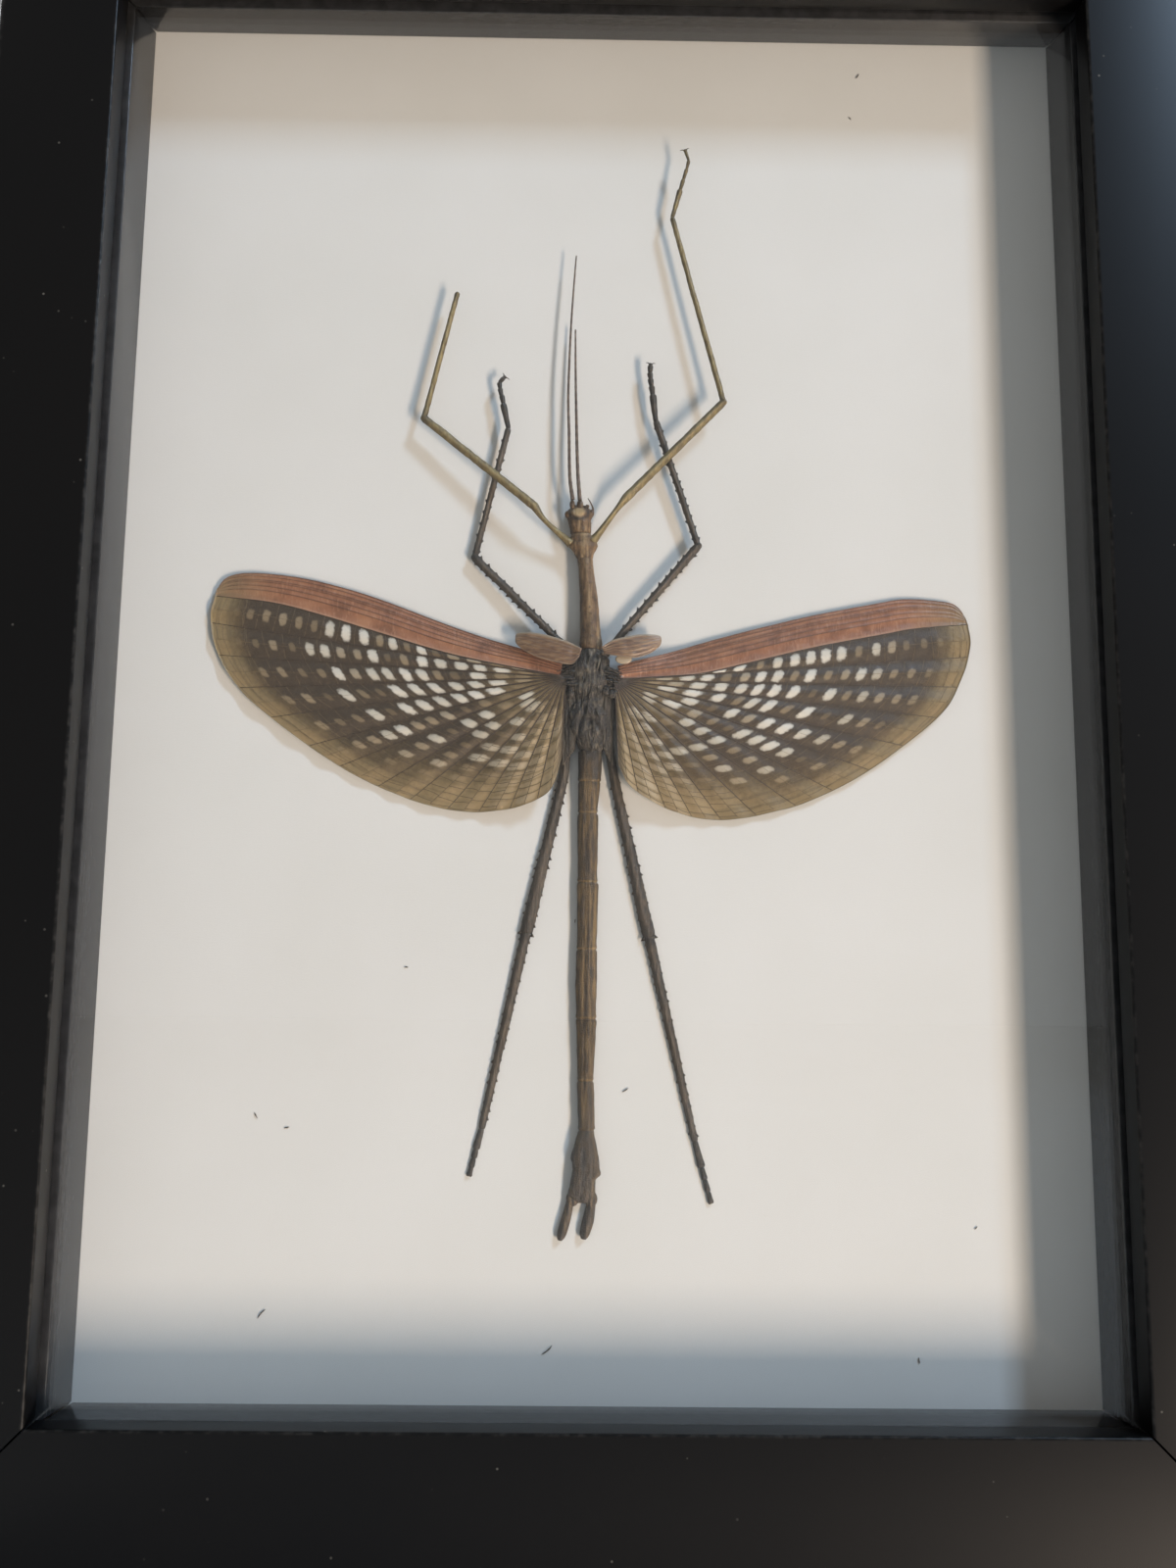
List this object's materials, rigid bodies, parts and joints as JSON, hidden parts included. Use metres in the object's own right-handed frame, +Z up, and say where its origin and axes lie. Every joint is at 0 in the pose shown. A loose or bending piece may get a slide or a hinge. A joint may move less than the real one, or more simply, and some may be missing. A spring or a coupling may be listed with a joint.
{
  "type": "framed stick insect",
  "caption": "Winged stick insect, spread flat on white board inside a deep black box frame with a glass front, to stand on its bottom rail or hang on a wall.",
  "frame": {"origin": "the middle of the frame's underside, on the surface it stands on", "axes": "+Z up along the insect's body towards its head, +X to the right as seen from the front, -Y out of the glass front, +Y towards the wall"},
  "size_m": [0.1886, 0.032, 0.252],
  "materials": {
    "black_rail": "satin black paint over wood fibre",
    "clear_pane": "clear, lightly dusty",
    "black_spacer": "smooth satin black",
    "white_board": "matt off-white card",
    "fibreboard": "raw brown hardboard",
    "steel": "zinc plated",
    "thorax_cuticle": "dry tan-brown cuticle with dark warts",
    "body_cuticle": "dry dark brown cuticle with orange-brown streaks",
    "antenna_cuticle": "dry brown, ringed",
    "olive_leg": "dry olive-tan cuticle, slightly glossy",
    "dark_leg": "dry dark brown-grey cuticle",
    "fore_wing": "dry veined brown leaf, slightly glossy",
    "hind_wing": "thin veined membrane, brown with pale spots and a pinkish brown front strip"
  },
  "bodies": {
    "root": {"frame_rail_left": "black_rail", "spacer_left": "black_spacer", "frame_rail_right": "black_rail", "spacer_right": "black_spacer", "frame_rail_top": "black_rail", "spacer_top": "black_spacer", "frame_rail_bottom": "black_rail", "spacer_bottom": "black_spacer", "glass": "clear_pane", "backing_board": "white_board", "back_panel": "fibreboard", "hanger": "steel", "tab_1": "steel", "tab_2": "steel", "tab_3": "steel", "tab_4": "steel", "head": "thorax_cuticle", "prothorax": "thorax_cuticle", "mesothorax": "thorax_cuticle", "metathorax": "body_cuticle", "abdomen": "body_cuticle", "cercus_left": "body_cuticle", "cercus_right": "body_cuticle", "antenna_left": "antenna_cuticle", "antenna_right": "antenna_cuticle", "fore_leg_left": "olive_leg", "fore_leg_right": "olive_leg", "mid_leg_left": "dark_leg", "mid_leg_right": "dark_leg", "hind_leg_left": "dark_leg", "hind_leg_right": "dark_leg", "fore_wing_left": "fore_wing", "hind_wing_left": "hind_wing", "fore_wing_right": "fore_wing", "hind_wing_right": "hind_wing"}
  },
  "joints": []
}
